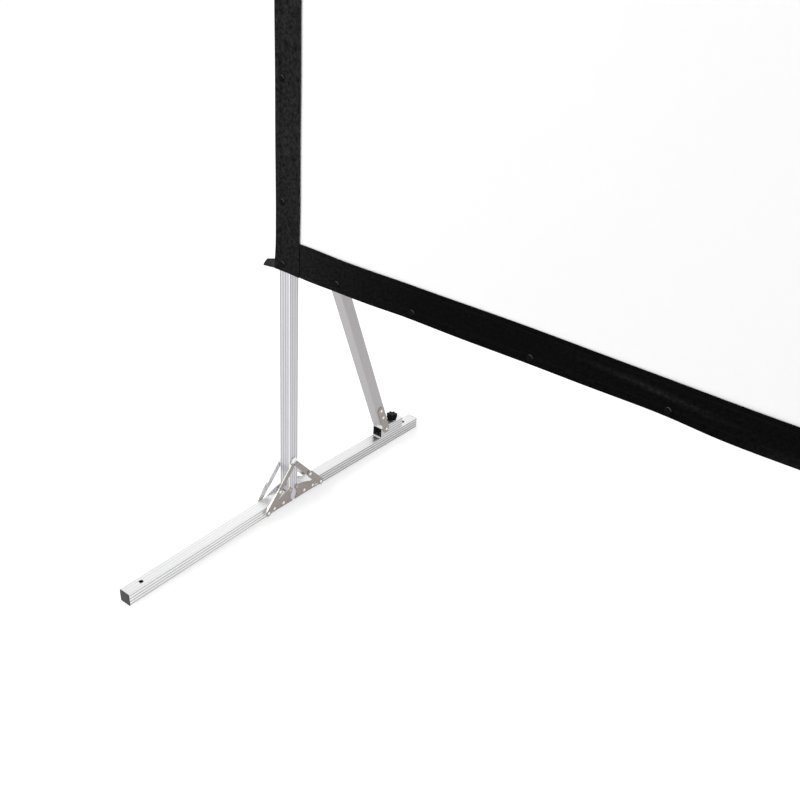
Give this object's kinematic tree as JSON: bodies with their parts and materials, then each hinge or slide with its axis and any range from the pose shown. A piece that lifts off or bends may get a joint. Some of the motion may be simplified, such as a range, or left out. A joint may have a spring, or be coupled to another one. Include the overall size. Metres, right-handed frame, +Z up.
{
  "type": "outdoor projection screen",
  "caption": "White projection cloth with a black border, snapped onto a fluted tube frame that stands on folding T-shaped legs with raking rear braces.",
  "frame": {"origin": "on the floor, midway between the feet, in the plane of the posts", "axes": "+X to the viewer's right along the screen, +Y away from the audience, +Z up"},
  "size_m": [2.889, 1.0612, 2.3127],
  "materials": {
    "fluted_aluminium": "satin anodised, fluted extrusion",
    "plain_aluminium": "brushed",
    "nickelled_steel": "pressed plate, dull nickel",
    "grey_plastic": "moulded, dark grey",
    "black_plastic": "moulded, black",
    "white_cloth": "matte white front-projection cloth",
    "black_cloth": "matte black coated cloth"
  },
  "bodies": {
    "frame": {"bottom_rail": "fluted_aluminium", "top_rail": "fluted_aluminium", "white_screen_cloth": "white_cloth", "bottom_border_strip": "black_cloth", "top_border_strip": "black_cloth", "left_border_strip": "black_cloth", "right_border_strip": "black_cloth", "left_leg_post": "fluted_aluminium", "left_side_rail": "fluted_aluminium", "left_top_plug": "grey_plastic", "left_hinge_core": "plain_aluminium", "left_brace_bracket": "nickelled_steel", "right_leg_post": "fluted_aluminium", "right_side_rail": "fluted_aluminium", "right_top_plug": "grey_plastic", "right_hinge_core": "plain_aluminium", "right_brace_bracket": "nickelled_steel"},
    "left_front_foot": {"left_front_foot_tube": "fluted_aluminium", "left_front_end_cap": "grey_plastic", "left_front_hinge_plate_inner": "nickelled_steel", "left_front_hinge_plate_outer": "nickelled_steel"},
    "left_front_lower_stay": {"left_front_lower_stay_inner": "nickelled_steel", "left_front_lower_stay_outer": "nickelled_steel"},
    "left_front_upper_stay": {"left_front_upper_stay_inner": "nickelled_steel", "left_front_upper_stay_outer": "nickelled_steel"},
    "left_rear_foot": {"left_rear_foot_tube": "fluted_aluminium", "left_rear_end_cap": "grey_plastic", "left_rear_hinge_plate_inner": "nickelled_steel", "left_rear_hinge_plate_outer": "nickelled_steel"},
    "left_rear_lower_stay": {"left_rear_lower_stay_inner": "nickelled_steel", "left_rear_lower_stay_outer": "nickelled_steel"},
    "left_rear_upper_stay": {"left_rear_upper_stay_inner": "nickelled_steel", "left_rear_upper_stay_outer": "nickelled_steel"},
    "left_brace": {"left_brace_tube": "plain_aluminium", "left_brace_link_inner": "nickelled_steel", "left_brace_link_outer": "nickelled_steel"},
    "left_shoe": {"left_brace_shoe": "fluted_aluminium"},
    "left_knob": {"left_brace_knob": "black_plastic"},
    "right_front_foot": {"right_front_foot_tube": "fluted_aluminium", "right_front_end_cap": "grey_plastic", "right_front_hinge_plate_inner": "nickelled_steel", "right_front_hinge_plate_outer": "nickelled_steel"},
    "right_front_lower_stay": {"right_front_lower_stay_inner": "nickelled_steel", "right_front_lower_stay_outer": "nickelled_steel"},
    "right_front_upper_stay": {"right_front_upper_stay_inner": "nickelled_steel", "right_front_upper_stay_outer": "nickelled_steel"},
    "right_rear_foot": {"right_rear_foot_tube": "fluted_aluminium", "right_rear_end_cap": "grey_plastic", "right_rear_hinge_plate_inner": "nickelled_steel", "right_rear_hinge_plate_outer": "nickelled_steel"},
    "right_rear_lower_stay": {"right_rear_lower_stay_inner": "nickelled_steel", "right_rear_lower_stay_outer": "nickelled_steel"},
    "right_rear_upper_stay": {"right_rear_upper_stay_inner": "nickelled_steel", "right_rear_upper_stay_outer": "nickelled_steel"},
    "right_brace": {"right_brace_tube": "plain_aluminium", "right_brace_link_inner": "nickelled_steel", "right_brace_link_outer": "nickelled_steel"},
    "right_shoe": {"right_brace_shoe": "fluted_aluminium"},
    "right_knob": {"right_brace_knob": "black_plastic"}
  },
  "joints": [
    {"name": "left_front_foot_fold", "type": "hinge", "parent": "frame", "child": "left_front_foot", "pos_m": [-1.3825, -0.01191, 0.05043], "axis": [-1, 0, 0], "range_deg": [0, 91.37]},
    {"name": "left_front_lower_stay_swing", "type": "hinge", "parent": "left_front_foot", "child": "left_front_lower_stay", "pos_m": [-1.3825, -0.09786, 0.02636], "axis": [1, 0, 0], "range_deg": [0, 117.29]},
    {"name": "left_front_upper_stay_swing", "type": "hinge", "parent": "frame", "child": "left_front_upper_stay", "pos_m": [-1.3825, -0.0078, 0.124], "axis": [-1, 0, 0], "range_deg": [0, 131.32]},
    {"name": "left_rear_foot_fold", "type": "hinge", "parent": "frame", "child": "left_rear_foot", "pos_m": [-1.3825, 0.01191, 0.05043], "axis": [1, 0, 0], "range_deg": [0, 91.38]},
    {"name": "left_rear_lower_stay_swing", "type": "hinge", "parent": "left_rear_foot", "child": "left_rear_lower_stay", "pos_m": [-1.3825, 0.09786, 0.02636], "axis": [-1, 0, 0], "range_deg": [0, 117.29]},
    {"name": "left_rear_upper_stay_swing", "type": "hinge", "parent": "frame", "child": "left_rear_upper_stay", "pos_m": [-1.3825, 0.0078, 0.124], "axis": [1, 0, 0], "range_deg": [0, 131.32]},
    {"name": "left_brace_swing", "type": "hinge", "parent": "frame", "child": "left_brace", "pos_m": [-1.3825, 0.03997, 0.901], "axis": [1, 0, 0], "range_deg": [0, 156.84]},
    {"name": "left_shoe_turn", "type": "hinge", "parent": "left_brace", "child": "left_shoe", "pos_m": [-1.3825, 0.38207, 0.06106], "axis": [-1, 0, 0], "range_deg": [0, 66.47]},
    {"name": "left_knob_turn", "type": "hinge", "parent": "left_shoe", "child": "left_knob", "pos_m": [-1.3825, 0.42792, 0.06676], "axis": [0, 0.024, 0.9997], "continuous": true},
    {"name": "right_front_foot_fold", "type": "hinge", "parent": "frame", "child": "right_front_foot", "pos_m": [1.3825, -0.01191, 0.05043], "axis": [-1, 0, 0], "range_deg": [0, 91.37]},
    {"name": "right_front_lower_stay_swing", "type": "hinge", "parent": "right_front_foot", "child": "right_front_lower_stay", "pos_m": [1.3825, -0.09786, 0.02636], "axis": [1, 0, 0], "range_deg": [0, 117.29]},
    {"name": "right_front_upper_stay_swing", "type": "hinge", "parent": "frame", "child": "right_front_upper_stay", "pos_m": [1.3825, -0.0078, 0.124], "axis": [-1, 0, 0], "range_deg": [0, 131.32]},
    {"name": "right_rear_foot_fold", "type": "hinge", "parent": "frame", "child": "right_rear_foot", "pos_m": [1.3825, 0.01191, 0.05043], "axis": [1, 0, 0], "range_deg": [0, 91.38]},
    {"name": "right_rear_lower_stay_swing", "type": "hinge", "parent": "right_rear_foot", "child": "right_rear_lower_stay", "pos_m": [1.3825, 0.09786, 0.02636], "axis": [-1, 0, 0], "range_deg": [0, 117.29]},
    {"name": "right_rear_upper_stay_swing", "type": "hinge", "parent": "frame", "child": "right_rear_upper_stay", "pos_m": [1.3825, 0.0078, 0.124], "axis": [1, 0, 0], "range_deg": [0, 131.32]},
    {"name": "right_brace_swing", "type": "hinge", "parent": "frame", "child": "right_brace", "pos_m": [1.3825, 0.03997, 0.901], "axis": [1, 0, 0], "range_deg": [0, 156.84]},
    {"name": "right_shoe_turn", "type": "hinge", "parent": "right_brace", "child": "right_shoe", "pos_m": [1.3825, 0.38207, 0.06106], "axis": [-1, 0, 0], "range_deg": [0, 66.47]},
    {"name": "right_knob_turn", "type": "hinge", "parent": "right_shoe", "child": "right_knob", "pos_m": [1.3825, 0.42792, 0.06676], "axis": [0, 0.024, 0.9997], "continuous": true}
  ],
  "couplings": [
    {"joint": "left_front_lower_stay_swing", "follows": "left_front_foot_fold", "ratio": 1.2836},
    {"joint": "left_front_upper_stay_swing", "follows": "left_front_foot_fold", "ratio": 1.4371},
    {"joint": "left_rear_foot_fold", "follows": "left_brace_swing", "ratio": 0.58259},
    {"joint": "left_rear_lower_stay_swing", "follows": "left_brace_swing", "ratio": 0.7478},
    {"joint": "left_rear_upper_stay_swing", "follows": "left_brace_swing", "ratio": 0.83726},
    {"joint": "left_shoe_turn", "follows": "left_brace_swing", "ratio": 0.42379},
    {"joint": "right_front_lower_stay_swing", "follows": "right_front_foot_fold", "ratio": 1.2836},
    {"joint": "right_front_upper_stay_swing", "follows": "right_front_foot_fold", "ratio": 1.4371},
    {"joint": "right_rear_foot_fold", "follows": "right_brace_swing", "ratio": 0.58259},
    {"joint": "right_rear_lower_stay_swing", "follows": "right_brace_swing", "ratio": 0.7478},
    {"joint": "right_rear_upper_stay_swing", "follows": "right_brace_swing", "ratio": 0.83726},
    {"joint": "right_shoe_turn", "follows": "right_brace_swing", "ratio": 0.42379}
  ]
}
